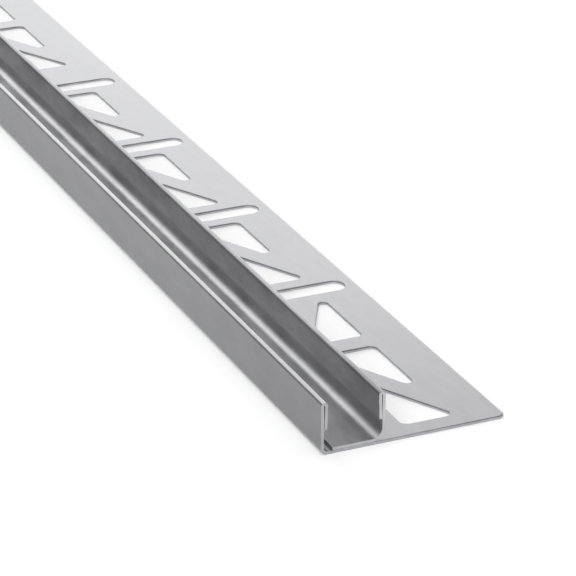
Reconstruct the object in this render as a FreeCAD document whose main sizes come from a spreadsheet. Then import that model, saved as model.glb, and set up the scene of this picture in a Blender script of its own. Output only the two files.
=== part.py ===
import FreeCAD, Part
import math
import os
import Sketcher

# Stainless channel profile that holds a shower's glass panel, one length of stock.
# Two folded sheets: a perforated carrier with the front leg and the tiling flange, and
# an angle that lies on the carrier's base and closes the channel with the rear leg.
# X runs along the length, +Y towards the flange, Z up from the underside.

SIZES = {
    "profile_length": 1000.0,
    "profile_width": 45.0,
    "profile_height": 12.5,
    "channel_width": 15.3,
    "carrier_gauge": 0.7,
    "angle_gauge": 0.7,
    "carrier_bend_radius": 1.0,
    "angle_bend_radius": 2.4,
    "hem_depth": 6.7,
    "hem_fold_gap": 0.2,
    "hem_end_gap": 0.03,
    "angle_toe_clearance": 2.1,
    "flange_corner_radius": 1.8,
    "stroke_length": 250.0,
    "first_window_offset": 4.9,
    "pair_length": 39.1,
    "single_window_land": 6.1,
    "window_line": 22.0,
    "window_band": 11.9,
    "window_long_leg": 25.0,
    "window_short_leg": 13.0,
    "window_square_radius": 1.9,
    "window_tip_radius": 1.35,
    "first_slot_offset": 75.9,
    "slot_pitch": 52.8,
    "slot_width": 5.5,
    "slot_land": 4.2,
    "slot_tip_line": 42.25,
}
SLOTS_PER_STROKE = 4

doc = FreeCAD.newDocument("glass_channel_profile")
sizes = doc.addObject("Spreadsheet::Sheet", "sizes")
for row, (alias, size) in enumerate(SIZES.items(), start=1):
    sizes.set(f"A{row}", alias)
    sizes.set(f"B{row}", str(size))
    sizes.setAlias(f"B{row}", alias)
doc.recompute()

# Points of a sketch's geometry, as its constraints count them.
ORIGIN = (-1, 1)
START = 1
END = 2
CENTRE = 3

# Edges that several features share, as expressions on the sheet.
NEAR_END = "sizes.profile_length / 2"
FRONT_FACE = "-sizes.profile_width / 2"
FLANGE_EDGE = "sizes.profile_width / 2"
REAR_FACE = f"{FRONT_FACE} + sizes.channel_width"
ANGLE_TOE = f"{FRONT_FACE} + sizes.carrier_gauge + sizes.angle_toe_clearance"
WINDOW_LINE = f"{FRONT_FACE} + sizes.window_line"
WINDOW_FAR_LINE = f"{WINDOW_LINE} + sizes.window_band"


def value(expression):
    return float(sizes.evalExpression(expression))


def vector(across, up):
    return FreeCAD.Vector(value(across), value(up), 0)


def new_body(name):
    body = doc.addObject("PartDesign::Body", name)
    body.Label = name
    return body


def origin_feature(body, role):
    return next(item for item in body.Origin.OriginFeatures if item.Role == role)


def new_sketch(body, name, plane):
    sketch = body.newObject("Sketcher::SketchObject", name)
    sketch.AttachmentSupport = (origin_feature(body, plane), [""])
    sketch.MapMode = "FlatFace"
    return sketch


def tie(sketch, kind, arguments, expression):
    """Adds a dimension and binds it to an expression on the sheet."""
    index = sketch.addConstraint(Sketcher.Constraint(kind, *arguments, value(expression)))
    sketch.setExpression(f"Constraints[{index}]", expression)


def place(sketch, geometry, point, across, up):
    tie(sketch, "DistanceX", (*ORIGIN, geometry, point), across)
    tie(sketch, "DistanceY", (*ORIGIN, geometry, point), up)


def arc(centre, start, end):
    """Counter-clockwise arc from start to end."""
    circle = Part.Circle(centre, FreeCAD.Vector(0, 0, 1), (start - centre).Length)
    angles = [math.atan2(spot.y - centre.y, spot.x - centre.x) for spot in (start, end)]
    return Part.ArcOfCircle(circle, *angles)


def outline(sketch, steps):
    """Closed outline. A step (across, up) is a straight edge to that point, and a step
    (across, up, centre_across, centre_up, turn) an arc to it, turn +1 counter-clockwise."""
    edges = []
    for index, step in enumerate(steps):
        start = vector(*steps[index - 1][:2])
        end = vector(*step[:2])
        if len(step) == 2:
            edges.append((sketch.addGeometry(Part.LineSegment(start, end)), START, END))
        elif step[4] > 0:
            edges.append((sketch.addGeometry(arc(vector(*step[2:4]), start, end)), START, END))
        else:
            edges.append((sketch.addGeometry(arc(vector(*step[2:4]), end, start)), END, START))
    for index, step in enumerate(steps):
        edge, _, head = edges[index]
        following, tail, _ = edges[(index + 1) % len(steps)]
        sketch.addConstraint(Sketcher.Constraint("Coincident", edge, head, following, tail))
        place(sketch, edge, head, *step[:2])
        if len(step) > 2:
            tie(sketch, "DistanceY", (*ORIGIN, edge, CENTRE), step[3])


def bent_strip(sketch, leg_face, underside, toe, side, gauge, radius, top):
    """Flat strip from its free edge, the toe, to a bend and up a leg to the height of top.
    side is -1 for a leg at the front of the channel and +1 for one at its rear."""
    bend_y = f"{leg_face} - {side} * ({radius} + {gauge})"
    bend_z = f"{underside} + {radius} + {gauge}"
    inner_face = f"{leg_face} - {side} * {gauge}"
    upperside = f"{underside} + {gauge}"
    outline(sketch, [
        (toe, underside),
        (bend_y, underside),
        (leg_face, bend_z, bend_y, bend_z, side),
        (leg_face, top),
        (inner_face, top),
        (inner_face, bend_z),
        (bend_y, upperside, bend_y, bend_z, -side),
        (toe, upperside),
    ])


def hem(sketch, leg_face, side, gauge, top):
    """Half-round fold on a leg and the leaf that hangs from it on the channel's side,
    its free end pressed closer to the leg than the fold is."""
    inner_face = f"{leg_face} - {side} * {gauge}"
    fold_y = f"{inner_face} - {side} * sizes.hem_fold_gap / 2"
    leaf_y = f"{inner_face} - {side} * sizes.hem_fold_gap"
    leaf_end_y = f"{inner_face} - {side} * sizes.hem_end_gap"
    leaf_end_z = "sizes.profile_height - sizes.hem_depth"
    outline(sketch, [
        (inner_face, top),
        (leaf_y, top, fold_y, top, side),
        (leaf_end_y, leaf_end_z),
        (f"{leaf_end_y} - {side} * {gauge}", leaf_end_z),
        (f"{leaf_y} - {side} * {gauge}", top),
        (leg_face, top, fold_y, top, -side),
    ])


def pad_along_length(body, sketch, name):
    pad = body.newObject("PartDesign::Pad", name)
    pad.Profile = sketch
    pad.SideType = "Symmetric"
    pad.setExpression("Length", "sizes.profile_length")
    sketch.Visibility = False
    doc.recompute()
    return pad


def folded_sheet(name, leg_face, underside, toe, side, gauge, radius):
    """One sheet bent up into a leg and hemmed inwards along the leg's top."""
    body = new_body(name)
    fold_z = f"sizes.profile_height - {gauge} - sizes.hem_fold_gap / 2"
    strip_section = new_sketch(body, f"{name}_strip_section", "YZ_Plane")
    bent_strip(strip_section, leg_face, underside, toe, side, gauge, radius, fold_z)
    pad_along_length(body, strip_section, f"{name}_strip")
    hem_section = new_sketch(body, f"{name}_hem_section", "YZ_Plane")
    hem(hem_section, leg_face, side, gauge, fold_z)
    pad_along_length(body, hem_section, f"{name}_hem")
    return body


def round_flange_corners(body):
    """Rounds the two free corners of the tiling flange."""
    base = body.Tip
    flange_edge = value(FLANGE_EDGE)
    names = []
    for index, edge in enumerate(base.Shape.Edges, start=1):
        box = edge.BoundBox
        upright = box.ZLength > box.XLength + box.YLength
        if upright and math.isclose(box.YMax, flange_edge, abs_tol=1e-3):
            names.append(f"Edge{index}")
    fillet = body.newObject("PartDesign::Fillet", "flange_corners")
    fillet.Base = (base, names)
    fillet.setExpression("Radius", "sizes.flange_corner_radius")
    doc.recompute()


def triangle_window(sketch, corner_x, corner_y, long_way, short_way, square_radius):
    """Right-angled window with rounded corners. Its square corner is at corner_x, corner_y,
    long_way is +1 or -1 for the way its long leg runs along X, and short_way along Y."""
    tip_x = f"{corner_x} + {long_way} * sizes.window_long_leg"
    tip_y = f"{corner_y} + {short_way} * sizes.window_short_leg"
    corners = [vector(corner_x, corner_y), vector(tip_x, corner_y), vector(corner_x, tip_y)]
    radii = [square_radius, "sizes.window_tip_radius", "sizes.window_tip_radius"]
    along, slope, across = 0, 1, 2
    if long_way * short_way < 0:
        corners.reverse()
        radii.reverse()
        along, slope, across = 1, 0, 2
    arcs = []
    for index, corner in enumerate(corners):
        back = (corners[index - 1] - corner).normalize()
        ahead = (corners[(index + 1) % 3] - corner).normalize()
        half_angle = back.getAngle(ahead) / 2
        radius = value(radii[index])
        toe = radius / math.tan(half_angle)
        centre = corner + (back + ahead).normalize() * (radius / math.sin(half_angle))
        arcs.append(arc(centre, corner + back * toe, corner + ahead * toe))
    lines = []
    for index in range(3):
        line = Part.LineSegment(arcs[index].EndPoint, arcs[(index + 1) % 3].StartPoint)
        lines.append(sketch.addGeometry(line))
    for index in range(3):
        corner_arc = sketch.addGeometry(arcs[index])
        sketch.addConstraint(
            Sketcher.Constraint("Tangent", lines[index - 1], END, corner_arc, START))
        sketch.addConstraint(
            Sketcher.Constraint("Tangent", corner_arc, END, lines[index], START))
        tie(sketch, "Radius", (corner_arc,), radii[index])
    sketch.addConstraint(Sketcher.Constraint("Horizontal", lines[along]))
    sketch.addConstraint(Sketcher.Constraint("Vertical", lines[across]))
    tie(sketch, "DistanceY", (*ORIGIN, lines[along], START), corner_y)
    tie(sketch, "DistanceX", (*ORIGIN, lines[across], START), corner_x)
    for x, y in ((tip_x, corner_y), (corner_x, tip_y)):
        tip = sketch.addGeometry(Part.Point(vector(x, y)), True)
        place(sketch, tip, START, x, y)
        sketch.addConstraint(Sketcher.Constraint("PointOnObject", tip, START, lines[slope]))


def window_pair(sketch, near_x):
    """Two windows turned half round about each other, with a slanted web between them."""
    far_x = f"{near_x} - sizes.pair_length"
    triangle_window(sketch, near_x, WINDOW_LINE, -1, 1, "sizes.window_square_radius")
    triangle_window(sketch, far_x, WINDOW_FAR_LINE, 1, -1, "sizes.window_square_radius")


def cross_slot(sketch, near_x):
    """Round-ended slot across the flange, from the windows' line to the slots' own tip line."""
    far_x = f"{near_x} - sizes.slot_width"
    middle_x = f"{near_x} - sizes.slot_width / 2"
    low_centre = f"{WINDOW_LINE} + sizes.slot_width / 2"
    high_centre = f"{FRONT_FACE} + sizes.slot_tip_line - sizes.slot_width / 2"
    outline(sketch, [
        (near_x, low_centre, middle_x, low_centre, 1),
        (near_x, high_centre),
        (far_x, high_centre, middle_x, high_centre, 1),
        (far_x, low_centre),
    ])


def slot_x(index):
    return f"{NEAR_END} - sizes.first_slot_offset - {index} * sizes.slot_pitch"


def punch(body, sketch, name):
    """Cuts a sketch's holes up through the sheet."""
    before = body.Shape.Volume
    pocket = body.newObject("PartDesign::Pocket", name)
    pocket.Profile = sketch
    pocket.Type = "ThroughAll"
    pocket.Reversed = True
    sketch.Visibility = False
    doc.recompute()
    if body.Shape.Volume >= before:
        raise RuntimeError(f"{name} cuts nothing")
    return pocket


def perforate(body):
    """One tool stroke of windows and slots, repeated along the profile."""
    lead = new_sketch(body, "lead_holes", "XY_Plane")
    lead_x = f"{NEAR_END} - sizes.first_window_offset"
    window_pair(lead, lead_x)
    single_x = f"{lead_x} - sizes.pair_length - sizes.single_window_land"
    triangle_window(lead, single_x, WINDOW_FAR_LINE, -1, -1, "sizes.window_tip_radius")
    cross_slot(lead, slot_x(0))
    pockets = [punch(body, lead, "lead_punch")]
    for index in range(1, SLOTS_PER_STROKE):
        cell = new_sketch(body, f"cell_{index}_holes", "XY_Plane")
        window_pair(cell, f"{slot_x(index - 1)} - sizes.slot_width - sizes.slot_land")
        cross_slot(cell, slot_x(index))
        pockets.append(punch(body, cell, f"cell_{index}_punch"))
    strokes = body.newObject("PartDesign::LinearPattern", "strokes")
    strokes.Originals = pockets
    strokes.Direction = (origin_feature(body, "X_Axis"), [""])
    strokes.Reversed = True
    strokes.Mode = "Spacing"
    strokes.setExpression("Offset", "sizes.stroke_length")
    strokes.setExpression("Occurrences", "ceil(sizes.profile_length / sizes.stroke_length)")
    body.Tip = strokes
    doc.recompute()


carrier = folded_sheet("perforated_carrier", FRONT_FACE, "0", FLANGE_EDGE, -1,
                       "sizes.carrier_gauge", "sizes.carrier_bend_radius")
round_flange_corners(carrier)
perforate(carrier)
angle = folded_sheet("channel_angle", REAR_FACE, "sizes.carrier_gauge", ANGLE_TOE, 1,
                     "sizes.angle_gauge", "sizes.angle_bend_radius")

doc.recompute()
for item in doc.Objects:
    if {"Invalid", "Error"} & set(item.State):
        raise RuntimeError(f"{item.Name} failed: {item.State}")
os.makedirs("parts", exist_ok=True)
for body in (carrier, angle):
    if body.Shape.isNull() or not body.Shape.isValid() or len(body.Shape.Solids) != 1:
        raise RuntimeError(f"{body.Label} has no sound solid")
    body.Shape.exportStep(f"parts/{body.Label}.step")
    print(body.Label, round(body.Shape.Volume, 1), body.Shape.BoundBox)
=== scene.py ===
"""Stainless glass channel profile: fine sheet meshes, brushed steel, pale floor, soft light.

Metres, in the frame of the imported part: X along the length, +Y towards the flange, Z up.
Each sheet is drawn flat, as the blank it is folded from, and then bent along its section.
"""
import math
from math import cos, pi, radians, sin

import bpy
from mathutils import Matrix, Vector
from mathutils.geometry import delaunay_2d_cdt


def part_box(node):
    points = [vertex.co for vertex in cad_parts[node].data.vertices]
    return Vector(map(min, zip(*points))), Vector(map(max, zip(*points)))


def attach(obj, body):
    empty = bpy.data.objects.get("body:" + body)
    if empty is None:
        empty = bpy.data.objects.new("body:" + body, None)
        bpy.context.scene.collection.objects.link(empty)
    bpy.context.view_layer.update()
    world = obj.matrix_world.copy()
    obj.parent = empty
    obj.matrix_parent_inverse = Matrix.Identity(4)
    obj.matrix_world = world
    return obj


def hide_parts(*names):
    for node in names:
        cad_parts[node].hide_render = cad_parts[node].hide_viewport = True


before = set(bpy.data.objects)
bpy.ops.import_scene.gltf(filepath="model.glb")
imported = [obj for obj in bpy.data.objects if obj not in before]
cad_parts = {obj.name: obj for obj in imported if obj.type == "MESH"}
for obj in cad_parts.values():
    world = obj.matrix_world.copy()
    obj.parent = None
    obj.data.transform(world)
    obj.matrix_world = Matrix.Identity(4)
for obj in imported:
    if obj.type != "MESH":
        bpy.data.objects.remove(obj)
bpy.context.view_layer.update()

MM = 0.001

# Sizes of the real profile that its boxes in the frame don't give.
GAUGE = 0.7 * MM
CARRIER_BEND_RADIUS = 1.0 * MM
ANGLE_BEND_RADIUS = 2.4 * MM
HEM_DEPTH = 6.7 * MM
HEM_FOLD_GAP = 0.2 * MM
HEM_END_GAP = 0.03 * MM
FLANGE_CORNER_RADIUS = 1.8 * MM
BLANK_CORNER_RADIUS = 0.25 * MM

# Width and drop of the rounded rim that shearing and punching leave on the upper side.
SHEARED_RIM = (0.03 * MM, 0.025 * MM)
PUNCHED_RIM = (0.28 * MM, 0.13 * MM)

# Perforation, measured from the near end and from the channel's front face.
STROKE_LENGTH = 250.0 * MM
FIRST_WINDOW_OFFSET = 4.9 * MM
PAIR_LENGTH = 39.1 * MM
SINGLE_WINDOW_LAND = 6.1 * MM
WINDOW_LINE = 22.0 * MM
WINDOW_BAND = 11.9 * MM
WINDOW_LONG_LEG = 25.0 * MM
WINDOW_SHORT_LEG = 13.0 * MM
WINDOW_SQUARE_RADIUS = 1.9 * MM
WINDOW_TIP_RADIUS = 1.35 * MM
FIRST_SLOT_OFFSET = 75.9 * MM
SLOT_PITCH = 52.8 * MM
SLOT_WIDTH = 5.5 * MM
SLOT_LAND = 4.2 * MM
SLOT_TIP_LINE = 42.25 * MM
SLOTS_PER_STROKE = 4

# Share of a hole's wall, below its upper rim, that the punch burnishes; this band is smoother
# than the torn wall, and its dark greys are a painted shade line.
BURNISHED_SHARE = 0.22

# Half of the short flat that is left between a slot end's two roundings.
SLOT_FLAT = 0.01 * MM

# Steps along a bend, round a hem's fold, round a corner and over a rounded rim.
BEND_STEPS = 14
FOLD_STEPS = 16
CORNER_STEPS = 8
RIM_STEPS = 3

# Material slots of a sheet's cut faces. Slot 0 is its brushed skin.
OUTLINE_CUT = 1
BURNISHED_PAINTED_SHADE_CUT = 2
TORN_CUT = 3

# Looseness allowed in the count of strokes, as a share of one.
STROKE_TOLERANCE = 1e-6

# Distance in millimetres under which the triangulation joins two points.
JOIN_TOLERANCE = 1e-5

# The way of triangulating that keeps what lies inside the edges.
TRIANGLES_INSIDE_EDGES = 1

CARRIER_LOW, CARRIER_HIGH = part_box("perforated_carrier")
ANGLE_LOW, ANGLE_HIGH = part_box("channel_angle")
HALF_LENGTH = CARRIER_HIGH.x
FRONT_FACE = CARRIER_LOW.y
FLANGE_EDGE = CARRIER_HIGH.y
REAR_FACE = ANGLE_HIGH.y
ANGLE_TOE = ANGLE_LOW.y
PROFILE_HEIGHT = CARRIER_HIGH.z


class Section:
    """Centre line of a folded sheet in the YZ plane, walked from the hem's free end."""

    def __init__(self, start, heading):
        self.points = [Vector(start)]
        self.headings = [heading]
        self.lengths = [0.0]

    def straight(self, length):
        step = Vector((cos(self.headings[-1]), sin(self.headings[-1])))
        self._add(self.points[-1] + step * length, self.headings[-1], length)

    def bend(self, angle, radius, steps):
        """Turns by angle, positive to the left, about a centre at radius."""
        side = 1 if angle > 0 else -1
        turn = angle / steps
        for _ in range(steps):
            heading = self.headings[-1]
            centre = self.points[-1] + Vector((-sin(heading), cos(heading))) * side * radius
            spoke = Matrix.Rotation(turn, 2) @ (self.points[-1] - centre)
            self._add(centre + spoke, heading + turn, abs(turn) * radius)

    def _add(self, point, heading, length):
        self.points.append(point)
        self.headings.append(heading)
        self.lengths.append(self.lengths[-1] + length)

    def at(self, distance):
        """Point, tangent and left-hand normal at a distance along the centre line."""
        index = 0
        while index < len(self.lengths) - 2 and distance > self.lengths[index + 1]:
            index += 1
        span = self.lengths[index + 1] - self.lengths[index]
        share = (distance - self.lengths[index]) / span
        point = self.points[index].lerp(self.points[index + 1], share)
        clamped = min(max(share, 0.0), 1.0)
        heading = self.headings[index] * (1 - clamped) + self.headings[index + 1] * clamped
        return point, Vector((cos(heading), sin(heading))), Vector((-sin(heading), cos(heading)))


def hemmed_section(leg_face, side, underside, bend_radius, free_edge):
    """Centre line of a hemmed leg and its base. side is -1 for the front leg, +1 for the rear."""
    middle = GAUGE / 2
    fold_radius = middle + HEM_FOLD_GAP / 2
    fold_z = PROFILE_HEIGHT - GAUGE - HEM_FOLD_GAP / 2
    leaf_y = leg_face - side * (GAUGE + HEM_FOLD_GAP + middle)
    leaf_length = fold_z - (PROFILE_HEIGHT - HEM_DEPTH)
    lean = math.atan((HEM_FOLD_GAP - HEM_END_GAP) / leaf_length)
    leaf_end = (leaf_y + side * (HEM_FOLD_GAP - HEM_END_GAP), PROFILE_HEIGHT - HEM_DEPTH)
    section = Section(leaf_end, pi / 2 + side * lean)
    section.straight(leaf_length / cos(lean))
    section.headings[-1] = pi / 2
    section.points[-1] = Vector((leaf_y, fold_z))
    section.bend(-side * pi, fold_radius, FOLD_STEPS)
    section.straight(fold_z - underside - GAUGE - bend_radius)
    section.bend(-side * pi / 2, bend_radius + middle, BEND_STEPS)
    section.straight(abs(free_edge - section.points[-1].x))
    return section


def rounded_loop(corners, radii, rims, steps):
    """Corners of a counter-clockwise outline, each rounded. Returns (centre, radius, spoke,
    rim) for every point, so that the loop can be drawn at any inset from its edge."""
    loop = []
    for index, corner in enumerate(corners):
        back = (corners[index - 1] - corner).normalized()
        ahead = (corners[(index + 1) % len(corners)] - corner).normalized()
        half_angle = back.angle(ahead) / 2
        centre = corner + (back + ahead).normalized() * (radii[index] / sin(half_angle))
        first_spoke = Vector((-back.y, back.x))
        for step in range(steps + 1):
            turn = (pi - 2 * half_angle) * step / steps
            spoke = Matrix.Rotation(turn, 2) @ first_spoke
            loop.append((centre, radii[index], spoke, rims[index]))
    return loop


def blank_outline(section, end_radius, end_rim):
    """Edge of the flat blank, with a point at every bend line so that it can be folded."""
    total = section.lengths[-1]
    corners = [Vector((0, -HALF_LENGTH)), Vector((total, -HALF_LENGTH)),
               Vector((total, HALF_LENGTH)), Vector((0, HALF_LENGTH))]
    radius = BLANK_CORNER_RADIUS
    loop = rounded_loop(corners, [radius, end_radius, end_radius, radius],
                        [SHEARED_RIM, end_rim, end_rim, SHEARED_RIM], CORNER_STEPS)
    bend_lines = section.lengths[1:-1]
    per_corner = CORNER_STEPS + 1
    far_end = [(Vector((line, -HALF_LENGTH + radius)), radius, Vector((0, -1)), SHEARED_RIM)
               for line in bend_lines]
    near_end = [(Vector((line, HALF_LENGTH - radius)), radius, Vector((0, 1)), SHEARED_RIM)
                for line in reversed(bend_lines)]
    points = (loop[:per_corner] + far_end + loop[per_corner:3 * per_corner] + near_end
              + loop[3 * per_corner:])
    far_at = range(per_corner, per_corner + len(bend_lines))
    near_start = 3 * per_corner + len(bend_lines)
    near_at = reversed(range(near_start, near_start + len(bend_lines)))
    return points, list(zip(far_at, near_at))


def at_inset(point, inset, outward):
    centre, radius, spoke, _ = point
    return centre + spoke * (radius - outward * inset)


def sheet_mesh(name, section, outline, bend_pairs, holes):
    """Folds a flat blank with holes into a closed sheet. Its upper edges have their rounded
    rims and its lower ones only the narrowest."""
    loops = [(outline, 1)] + [(hole, -1) for hole in holes]
    flat = [(point, outward) for loop, outward in loops for point in loop]
    turns = [k / RIM_STEPS * pi / 2 for k in range(RIM_STEPS + 1)]
    rings = [(1, turn, 0.0) for turn in turns] + [(1, pi / 2, BURNISHED_SHARE * GAUGE)]
    rings += [(-1, turn, 0.0) for turn in reversed(turns)]
    places = []
    normals = []
    for face, turn, depth in rings:
        for point, outward in flat:
            width, drop = point[3] if face > 0 else SHEARED_RIM
            spot = at_inset(point, width * (1 - sin(turn)), outward)
            centre, along, upright = section.at(spot.x)
            height = GAUGE / 2 - drop * (1 - cos(turn)) - depth
            place = centre + upright * face * height
            places.append((spot.y, place.x, place.y))
            edge_way = point[2] * outward * sin(turn) * drop / width
            across = along * edge_way.x + upright * face * cos(turn)
            normals.append(Vector((edge_way.y, across.x, across.y)).normalized())

    edges = []
    for loop, _ in loops:
        first = len(edges)
        edges += [(first + index, first + (index + 1) % len(loop)) for index in range(len(loop))]
    count = len(flat)
    last = len(rings) - 1
    faces = [(ring * count + here, ring * count + there,
              (ring + 1) * count + there, (ring + 1) * count + here)
             for ring in range(last) for here, there in edges]
    cut_faces = range(count * RIM_STEPS, count * last)
    faces += skin_faces(flat, edges + bend_pairs, holes, last * count)

    mesh = bpy.data.meshes.new(name)
    mesh.from_pydata(places, [], [outward_face(face, places, normals) for face in faces])
    mesh.shade_smooth()
    mesh.normals_split_custom_set_from_vertices(normals)
    for index in cut_faces:
        ring, edge = divmod(index, count)
        if edge < len(outline):
            mesh.polygons[index].material_index = OUTLINE_CUT
        # The burnished band carries a painted shade line.
        elif ring == RIM_STEPS:
            mesh.polygons[index].material_index = BURNISHED_PAINTED_SHADE_CUT
        else:
            mesh.polygons[index].material_index = TORN_CUT
    mesh.update()
    piece = bpy.data.objects.new(name, mesh)
    bpy.context.collection.objects.link(piece)
    return piece


def skin_faces(flat, edges, holes, last_ring):
    """Triangles of both flat sides, between the outline and the holes."""
    spots = [at_inset(point, point[3][0], outward) / MM for point, outward in flat]
    result = delaunay_2d_cdt(spots, edges, [], TRIANGLES_INSIDE_EDGES, JOIN_TOLERANCE)
    original = [sources[0] for sources in result[3]]
    windows = []
    for hole in holes:
        ring = [at_inset(point, point[3][0], -1) / MM for point in hole]
        windows.append((min(p.y for p in ring), max(p.y for p in ring), ring))
    faces = []
    for triangle in result[2]:
        corners = [result[0][index] for index in triangle]
        middle = (corners[0] + corners[1] + corners[2]) / 3
        if any(low < middle.y < high and inside(middle, ring) for low, high, ring in windows):
            continue
        top = tuple(original[index] for index in triangle)
        faces.append(top)
        faces.append(tuple(index + last_ring for index in top))
    return faces


def inside(spot, ring):
    """Whether a point lies in a convex counter-clockwise ring."""
    return all((ring[index] - ring[index - 1]).cross(spot - ring[index - 1]) > 0
               for index in range(len(ring)))


def outward_face(face, places, normals):
    """The face, wound so that it looks the way its points' normals do."""
    a, b, c = (Vector(places[index]) for index in face[:3])
    facing = sum((normals[index] for index in face), Vector())
    return face if (b - a).cross(c - a).dot(facing) > 0 else tuple(reversed(face))


def flange_point(section, across, offset):
    """Point of the flat blank at a distance across from the channel's front face and at an
    offset from the near end."""
    return Vector((section.lengths[-1] - (FLANGE_EDGE - FRONT_FACE - across),
                   HALF_LENGTH - offset))


def triangle_window(section, across, offset, across_way, along_way, square_radius):
    """Right-angled window. Its square corner is at across and offset, its short leg runs
    across_way and its long leg along_way, +1 or -1."""
    corners = [(across, offset),
               (across + across_way * WINDOW_SHORT_LEG, offset),
               (across, offset + along_way * WINDOW_LONG_LEG)]
    points = [flange_point(section, *corner) for corner in corners]
    radii = [square_radius, WINDOW_TIP_RADIUS, WINDOW_TIP_RADIUS]
    if (points[1] - points[0]).cross(points[2] - points[0]) < 0:
        points.reverse()
        radii.reverse()
    return rounded_loop(points, radii, [PUNCHED_RIM] * 3, CORNER_STEPS)


def cross_slot(section, offset):
    corners = [(WINDOW_LINE, offset + SLOT_WIDTH), (SLOT_TIP_LINE, offset + SLOT_WIDTH),
               (SLOT_TIP_LINE, offset), (WINDOW_LINE, offset)]
    points = [flange_point(section, *corner) for corner in corners]
    return rounded_loop(points, [SLOT_WIDTH / 2 - SLOT_FLAT] * 4, [PUNCHED_RIM] * 4,
                        CORNER_STEPS)


def window_pair(section, offset):
    far_line = WINDOW_LINE + WINDOW_BAND
    return [triangle_window(section, WINDOW_LINE, offset, 1, 1, WINDOW_SQUARE_RADIUS),
            triangle_window(section, far_line, offset + PAIR_LENGTH, -1, -1,
                            WINDOW_SQUARE_RADIUS)]


def perforation(section):
    """Every window and slot of the flange, stroke by stroke from the near end."""
    holes = []
    for stroke in range(math.ceil(2 * HALF_LENGTH / STROKE_LENGTH - STROKE_TOLERANCE)):
        start = stroke * STROKE_LENGTH
        lead = start + FIRST_WINDOW_OFFSET
        holes += window_pair(section, lead)
        holes.append(triangle_window(section, WINDOW_LINE + WINDOW_BAND,
                                     lead + PAIR_LENGTH + SINGLE_WINDOW_LAND, -1, 1,
                                     WINDOW_TIP_RADIUS))
        for index in range(SLOTS_PER_STROKE):
            slot_offset = start + FIRST_SLOT_OFFSET + index * SLOT_PITCH
            holes.append(cross_slot(section, slot_offset))
            if index < SLOTS_PER_STROKE - 1:
                holes += window_pair(section, slot_offset + SLOT_WIDTH + SLOT_LAND)
    return holes


# Finishes

# Steel is a little bluer than grey.
BLUE_SHARE = 1.03

# Noise patterns: how far they are drawn out along the length, and their scale.
BRUSHED_LINES = {"stretch": 160.0, "scale": 3800.0, "detail": 3.0, "roughness": 0.6}
CLOUDS = {"stretch": 2.5, "scale": 190.0, "detail": 4.0, "roughness": 0.6}
LONG_WAVES = {"stretch": 2.5, "scale": 42.0, "detail": 1.0, "roughness": 0.5}

# Levels of the cloud noise at which the grey is darkest and lightest.
CLOUD_LEVELS = (0.36, 0.64)

# What the lines and the clouds give to the roughness, as shares of its range.
LINES_IN_ROUGHNESS = 0.3
CLOUDS_IN_ROUGHNESS = 0.7
CLOUD_ROUGHNESS_LEVELS = (0.2, 0.8)

# Depths of the bumps.
FINE_LINE_DEPTH = 0.0002 * MM
COARSE_LINE_DEPTH = 0.001 * MM
WAVE_DEPTH = 0.06 * MM
WAVE_STRENGTH = 0.5

# Heights between which the rolled top of a hem takes over from the leg; its greys are scaled
# there as painted highlight on the carrier and painted shade on the angle.
PAINTED_HEM_TOP_LEVELS = (PROFILE_HEIGHT - 1.5 * GAUGE, PROFILE_HEIGHT - 0.4 * GAUGE)

# Painted shade on the near end: the share of the greys that it leaves there, and the length over
# which it fades out.
NO_NEAR_END_SHADE = (1.0, 90.0 * MM)
CARRIER_NEAR_END_SHADE = (0.92, 90.0 * MM)
ANGLE_NEAR_END_SHADE = (0.70, 28.0 * MM)

FLOOR_GREY = 0.9
FLOOR_ROUGHNESS = 0.9


def new_material(name):
    material = bpy.data.materials.new(name)
    material.use_nodes = True
    tree = material.node_tree
    return material, tree, tree.nodes["Principled BSDF"]


def add_node(tree, kind, **sockets):
    node = tree.nodes.new(kind)
    for name, setting in sockets.items():
        node.inputs[name].default_value = setting
    return node


def stretched_noise(tree, stretch, scale, detail, roughness):
    """Noise in the object's own metres, drawn out along X by the stretch."""
    place = tree.nodes.new("ShaderNodeTexCoord")
    mapping = add_node(tree, "ShaderNodeMapping", Scale=(1 / stretch, 1.0, 1.0))
    noise = add_node(tree, "ShaderNodeTexNoise", Scale=scale, Detail=detail,
                     Roughness=roughness)
    tree.links.new(place.outputs["Object"], mapping.inputs["Vector"])
    tree.links.new(mapping.outputs["Vector"], noise.inputs["Vector"])
    return noise.outputs["Fac"]


def ranged(tree, source, levels, results, curve="LINEAR"):
    """The source, mapped from its two levels to the two results."""
    node = add_node(tree, "ShaderNodeMapRange", **{
        "From Min": levels[0], "From Max": levels[1],
        "To Min": results[0], "To Max": results[1]})
    node.interpolation_type = curve
    tree.links.new(source, node.inputs["Value"])
    return node.outputs["Result"]


def combined(tree, operation, first, second):
    node = add_node(tree, "ShaderNodeMath")
    node.operation = operation
    tree.links.new(first, node.inputs[0])
    tree.links.new(second, node.inputs[1])
    return node.outputs["Value"]


def bumped(tree, source, distance, strength, base=None):
    node = add_node(tree, "ShaderNodeBump", Distance=distance, Strength=strength)
    tree.links.new(source, node.inputs["Height"])
    if base is not None:
        tree.links.new(base, node.inputs["Normal"])
    return node.outputs["Normal"]


def cloudy_grey(tree, clouds, greys):
    """Colour that drifts between two greys with the clouds."""
    shade = tree.nodes.new("ShaderNodeMix")
    shade.data_type = "RGBA"
    for socket, grey in zip(("A", "B"), greys):
        shade.inputs[socket].default_value = (grey, grey, grey * BLUE_SHARE, 1)
    tree.links.new(ranged(tree, clouds, CLOUD_LEVELS, (0.0, 1.0)), shade.inputs["Factor"])
    return shade.outputs["Result"]


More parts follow.
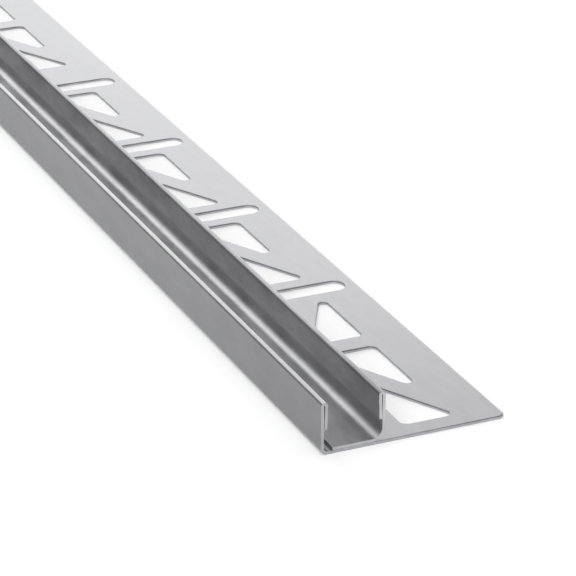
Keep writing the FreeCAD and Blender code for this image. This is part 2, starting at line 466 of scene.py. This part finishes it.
def brightness(tree, hem_top_light, near_end_shade):
    """Factor of the greys: hem_top_light on top of a hem, lighter as painted highlight and darker
    as painted shade, and painted shade at the near end.
    """
    near_end_shade_share, near_end_shade_length = near_end_shade
    place = tree.nodes.new("ShaderNodeTexCoord")
    split = tree.nodes.new("ShaderNodeSeparateXYZ")
    tree.links.new(place.outputs["Object"], split.inputs["Vector"])
    # Painted highlight or painted shade on the rolled top of a hem, as hem_top_light is above or
    # below one.
    painted_hem_top = ranged(tree, split.outputs["Z"], PAINTED_HEM_TOP_LEVELS, (1.0, hem_top_light))
    # Painted shade: darkens the greys towards the near end.
    near_end_shaded = ranged(tree, split.outputs["X"], (HALF_LENGTH - near_end_shade_length, HALF_LENGTH),
                    (1.0, near_end_shade_share), "SMOOTHSTEP")
    return combined(tree, "MULTIPLY", painted_hem_top, near_end_shaded)


def uneven_roughness(tree, lines, clouds, span):
    """Roughness between the two ends of the span, from the lines and the clouds."""
    cloudy = ranged(tree, clouds, CLOUD_ROUGHNESS_LEVELS, (0.0, CLOUDS_IN_ROUGHNESS))
    mixed = add_node(tree, "ShaderNodeMath")
    mixed.operation = "MULTIPLY_ADD"
    mixed.inputs[1].default_value = LINES_IN_ROUGHNESS
    tree.links.new(lines, mixed.inputs[0])
    tree.links.new(cloudy, mixed.inputs[2])
    return ranged(tree, mixed.outputs["Value"], (0.0, 1.0), span)


def steel(name, haze, greys, roughness, line_depth, hem_top_light=1.0, near_end_shade=NO_NEAR_END_SHADE):
    """Stainless steel: fine lines along the length, faint clouds and long shallow waves.
    haze is the share that it scatters all round, greys and roughness the ends of their
    ranges; hem_top_light scales the greys on top of a hem, a painted highlight above one and a
    painted shade below, and near_end_shade is painted shade that darkens them at the near end."""
    material, tree, shader = new_material(name)
    shader.inputs["Metallic"].default_value = 1 - haze
    lines = stretched_noise(tree, **BRUSHED_LINES)
    clouds = stretched_noise(tree, **CLOUDS)
    waves = stretched_noise(tree, **LONG_WAVES)

    scaled = tree.nodes.new("ShaderNodeVectorMath")
    scaled.operation = "SCALE"
    tree.links.new(cloudy_grey(tree, clouds, greys), scaled.inputs["Vector"])
    tree.links.new(brightness(tree, hem_top_light, near_end_shade), scaled.inputs["Scale"])
    tree.links.new(scaled.outputs["Vector"], shader.inputs["Base Color"])

    uneven = uneven_roughness(tree, lines, clouds, roughness)
    tree.links.new(uneven, shader.inputs["Roughness"])

    wavy = bumped(tree, waves, WAVE_DEPTH, WAVE_STRENGTH)
    lined = bumped(tree, lines, line_depth, 1.0, wavy)
    tree.links.new(lined, shader.inputs["Normal"])
    return material


def cut_steel(name, greys):
    """A sheared or torn edge, duller than the skin."""
    return steel(name, haze=0.1, greys=greys, roughness=(0.45, 0.6),
                 line_depth=COARSE_LINE_DEPTH)


def carrier_finishes():
    """Skin, outline cut, burnished cut with its painted shade and torn cut, in the order of the
    material slots.
    """
    # Painted highlight on the hem's rolled top (greys 9 % lighter) and painted shade towards the
    # near end.
    skin = steel("stainless_carrier", haze=0.0, greys=(0.24, 0.28), roughness=(0.34, 0.46),
                 line_depth=FINE_LINE_DEPTH, hem_top_light=1.09, near_end_shade=CARRIER_NEAR_END_SHADE)
    outline_cut = cut_steel("stainless_carrier_end", (0.38, 0.45))
    # Burnished band: smoother than the torn cut, and its dark greys paint a thin shade line under
    # the rim.
    burnished_painted_shade_cut = steel("stainless_burnished_cut", haze=0.0, greys=(0.16, 0.22),
                          roughness=(0.3, 0.4), line_depth=FINE_LINE_DEPTH)
    torn_cut = cut_steel("stainless_torn_cut", (0.46, 0.58))
    return skin, outline_cut, burnished_painted_shade_cut, torn_cut


def angle_finishes():
    """Skin and outline cut, in the order of the material slots."""
    # Painted shade on the hem's rolled top (greys at 60 %) and painted shade towards the near
    # end.
    skin = steel("stainless_angle", haze=0.24, greys=(0.30, 0.43), roughness=(0.34, 0.48),
                 line_depth=FINE_LINE_DEPTH, hem_top_light=0.60, near_end_shade=ANGLE_NEAR_END_SHADE)
    return skin, cut_steel("stainless_angle_end", (0.44, 0.52))


def pale_floor():
    material, _, shader = new_material("pale_floor")
    shader.inputs["Base Color"].default_value = (FLOOR_GREY, FLOOR_GREY, FLOOR_GREY, 1)
    shader.inputs["Roughness"].default_value = FLOOR_ROUGHNESS
    shader.inputs["Specular IOR Level"].default_value = 0.0
    return material


# Pieces of the object


def finish_piece(piece, node, materials):
    """Gives a folded sheet its materials and puts it in the place of its solid."""
    for material in materials:
        piece.data.materials.append(material)
    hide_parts(node)
    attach(piece, "root")


def build_carrier():
    section = hemmed_section(FRONT_FACE, -1, CARRIER_LOW.z, CARRIER_BEND_RADIUS, FLANGE_EDGE)
    outline, bend_pairs = blank_outline(section, FLANGE_CORNER_RADIUS, PUNCHED_RIM)
    piece = sheet_mesh("carrier_sheet", section, outline, bend_pairs, perforation(section))
    finish_piece(piece, "perforated_carrier", carrier_finishes())


def build_angle():
    section = hemmed_section(REAR_FACE, 1, ANGLE_LOW.z, ANGLE_BEND_RADIUS, ANGLE_TOE)
    outline, bend_pairs = blank_outline(section, BLANK_CORNER_RADIUS, SHEARED_RIM)
    piece = sheet_mesh("angle_sheet", section, outline, bend_pairs, [])
    finish_piece(piece, "channel_angle", angle_finishes())


# Stage, light and camera

FLOOR_HALF_SIZE = 40.0
FLOOR_DROP = 0.05 * MM

# Each light's azimuth and elevation in degrees, the cosines of the angles from its middle to
# its edge and to its full core, and its strength. The last is an even light from all round.
SOFT_LIGHTS = (
    (-122, 8, 0.90, 0.995, 3.80),
    (-100, 34, 0.90, 0.995, 1.05),
    (-82, 30, 0.90, 0.995, 3.00),
    (50, 32, 0.70, 0.99, 4.00),
    (160, 16, 0.80, 0.99, 0.90),
    (0, 90, 0.75, 0.99, 0.80),
    (0, 90, -1.00, -0.50, 0.10),
)

CAMERA_AZIMUTH = radians(65.930)
CAMERA_ELEVATION = radians(24.220)
CAMERA_ROLL = radians(0.166)
CAMERA_DISTANCE = 0.68066
CAMERA_TARGET = Vector((0.41678, 0.00679, 0.0))
CAMERA_LENS = 174.37
CAMERA_CLIP_START = 0.01
SENSOR_WIDTH = 36.0


def add_floor():
    size = FLOOR_HALF_SIZE
    mesh = bpy.data.meshes.new("floor")
    mesh.from_pydata([(-size, -size, -FLOOR_DROP), (size, -size, -FLOOR_DROP),
                      (size, size, -FLOOR_DROP), (-size, size, -FLOOR_DROP)],
                     [], [(0, 1, 2, 3)])
    floor = bpy.data.objects.new("floor", mesh)
    bpy.context.collection.objects.link(floor)
    mesh.materials.append(pale_floor())


def direction(azimuth, elevation):
    """Unit vector towards a viewpoint: azimuth 0 is in front, at -Y, and 90 at +X."""
    return Vector((sin(azimuth) * cos(elevation), -cos(azimuth) * cos(elevation),
                   sin(elevation)))


def add_camera():
    back = direction(CAMERA_AZIMUTH, CAMERA_ELEVATION)
    right = Vector((0, 0, 1)).cross(back).normalized()
    up = back.cross(right)
    facing = Matrix((right, up, back)).transposed()
    roll = Matrix.Rotation(CAMERA_ROLL, 3, back)
    data = bpy.data.cameras.new("photo_view")
    data.lens = CAMERA_LENS
    data.sensor_width = SENSOR_WIDTH
    data.clip_start = CAMERA_CLIP_START
    camera = bpy.data.objects.new("photo_view", data)
    camera.matrix_world = Matrix.Translation(
        CAMERA_TARGET + back * CAMERA_DISTANCE) @ (roll @ facing).to_4x4()
    bpy.context.collection.objects.link(camera)
    bpy.context.scene.camera = camera


def add_surround():
    """Soft light from all round, as a studio's large diffusers give it."""
    world = bpy.data.worlds.new("studio")
    world.use_nodes = True
    tree = world.node_tree
    background = tree.nodes["Background"]
    place = tree.nodes.new("ShaderNodeTexCoord")
    level = None
    for azimuth, elevation, edge, core, strength in SOFT_LIGHTS:
        towards = direction(radians(azimuth), radians(elevation))
        facing = tree.nodes.new("ShaderNodeVectorMath")
        facing.operation = "DOT_PRODUCT"
        facing.inputs[1].default_value = towards
        tree.links.new(place.outputs["Generated"], facing.inputs[0])
        glow = ranged(tree, facing.outputs["Value"], (edge, core), (0.0, strength),
                      "SMOOTHSTEP")
        if level is not None:
            glow = combined(tree, "ADD", level, glow)
        level = glow
    background.inputs["Color"].default_value = (1, 1, 1, 1)
    tree.links.new(level, background.inputs["Strength"])
    bpy.context.scene.world = world


build_carrier()
build_angle()
add_floor()
add_surround()
add_camera()
bpy.context.scene.view_settings.view_transform = "Standard"
